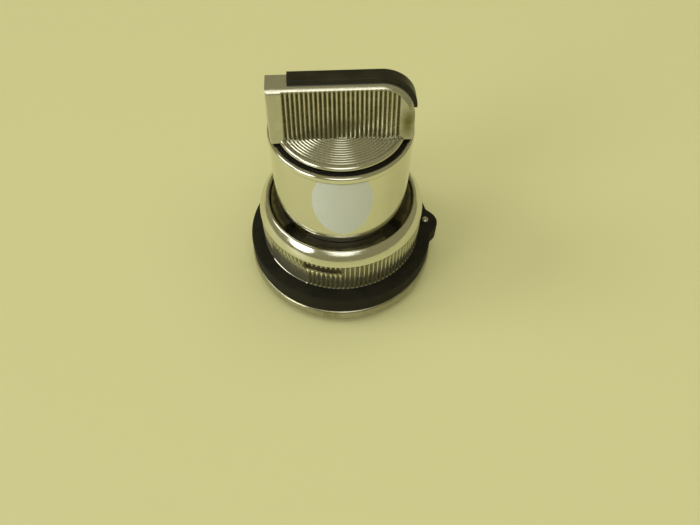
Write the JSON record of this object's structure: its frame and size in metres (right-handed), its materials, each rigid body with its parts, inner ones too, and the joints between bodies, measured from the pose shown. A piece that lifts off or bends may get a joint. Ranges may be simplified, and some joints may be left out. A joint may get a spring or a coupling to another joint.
{
  "type": "selector switch operator",
  "caption": "Panel-mounted three-position selector switch operator with a winged chrome lever knob, knurled ring nut, gasket and two rear plungers.",
  "frame": {"origin": "middle of the rear face, which bears on the contact block, on the knob's axis", "axes": "+Z out of the panel through the knob, +X the way the knob points at its centre position, and the gasket's lug is near +X"},
  "size_m": [0.0422, 0.0408, 0.0496],
  "materials": {
    "polished_chrome": "mirror polished chrome plating",
    "chrome_casting": "chrome plating on a zinc die casting",
    "black_rubber": "matte nitrile rubber",
    "black_moulding": "matte moulded plastic",
    "black_insert": "satin moulded plastic",
    "bright_steel": "zinc plated steel",
    "spring_steel": "tempered steel",
    "bronze": "sintered bronze",
    "white_acetal": "natural acetal",
    "red_moulding": "moulded plastic",
    "zinc_casting": "bare zinc die casting",
    "label_paper": "blank matte paper label"
  },
  "bodies": {
    "housing": {"rear_cover": "black_moulding", "rear_body": "chrome_casting", "gasket": "black_rubber", "locating_pin": "bright_steel", "cover_screws": "bright_steel", "bezel_sleeve": "polished_chrome", "upper_bushing": "bronze", "thrust_washer": "white_acetal", "guide_plate": "zinc_casting", "stop_pin": "bright_steel", "detent_spring_front": "spring_steel", "detent_spring_rear": "spring_steel", "paper_label": "label_paper", "return_spring_left": "spring_steel", "return_spring_right": "spring_steel"},
    "knob": {"selector_knob": "chrome_casting", "knob_insert": "black_insert", "dirt_seal": "black_rubber", "cross_pin": "bright_steel", "shaft": "bright_steel", "index_wheel": "zinc_casting", "spacer_sleeve": "bright_steel", "operating_cam": "white_acetal", "retaining_ring": "spring_steel"},
    "plunger_left": {"plunger_left": "red_moulding"},
    "plunger_right": {"plunger_right": "red_moulding"},
    "nut_washer": {"nut_washer": "bright_steel"},
    "ring_nut": {"ring_nut": "chrome_casting"}
  },
  "joints": [
    {"name": "knob_turn", "type": "hinge", "parent": "housing", "child": "knob", "pos_m": [0, 0, 0.0394], "axis": [0, 0, 1], "range_deg": [-45, 45], "deforming": ["detent_spring_front", "detent_spring_rear", "return_spring_left", "return_spring_right"]},
    {"name": "plunger_left_travel", "type": "slide", "parent": "housing", "child": "plunger_left", "axis": [0, 0, 1], "range_m": [-0.0015, 0.0015]},
    {"name": "plunger_right_travel", "type": "slide", "parent": "housing", "child": "plunger_right", "axis": [0, 0, 1], "range_m": [-0.0015, 0.0015]},
    {"name": "washer_lift", "type": "slide", "parent": "housing", "child": "nut_washer", "axis": [0, 0, 1], "range_m": [0, 0.006]},
    {"name": "nut_screw", "type": "hinge", "parent": "nut_washer", "child": "ring_nut", "pos_m": [0, 0, 0.0085], "axis": [0, 0, 1], "range_deg": [0, 1440]}
  ],
  "couplings": [
    {"joint": "plunger_left_travel", "follows": "knob_turn", "m_per_rad": 0.0019098},
    {"joint": "plunger_right_travel", "follows": "knob_turn", "m_per_rad": -0.0019098},
    {"joint": "washer_lift", "follows": "nut_screw", "m_per_rad": 0.00023873}
  ]
}
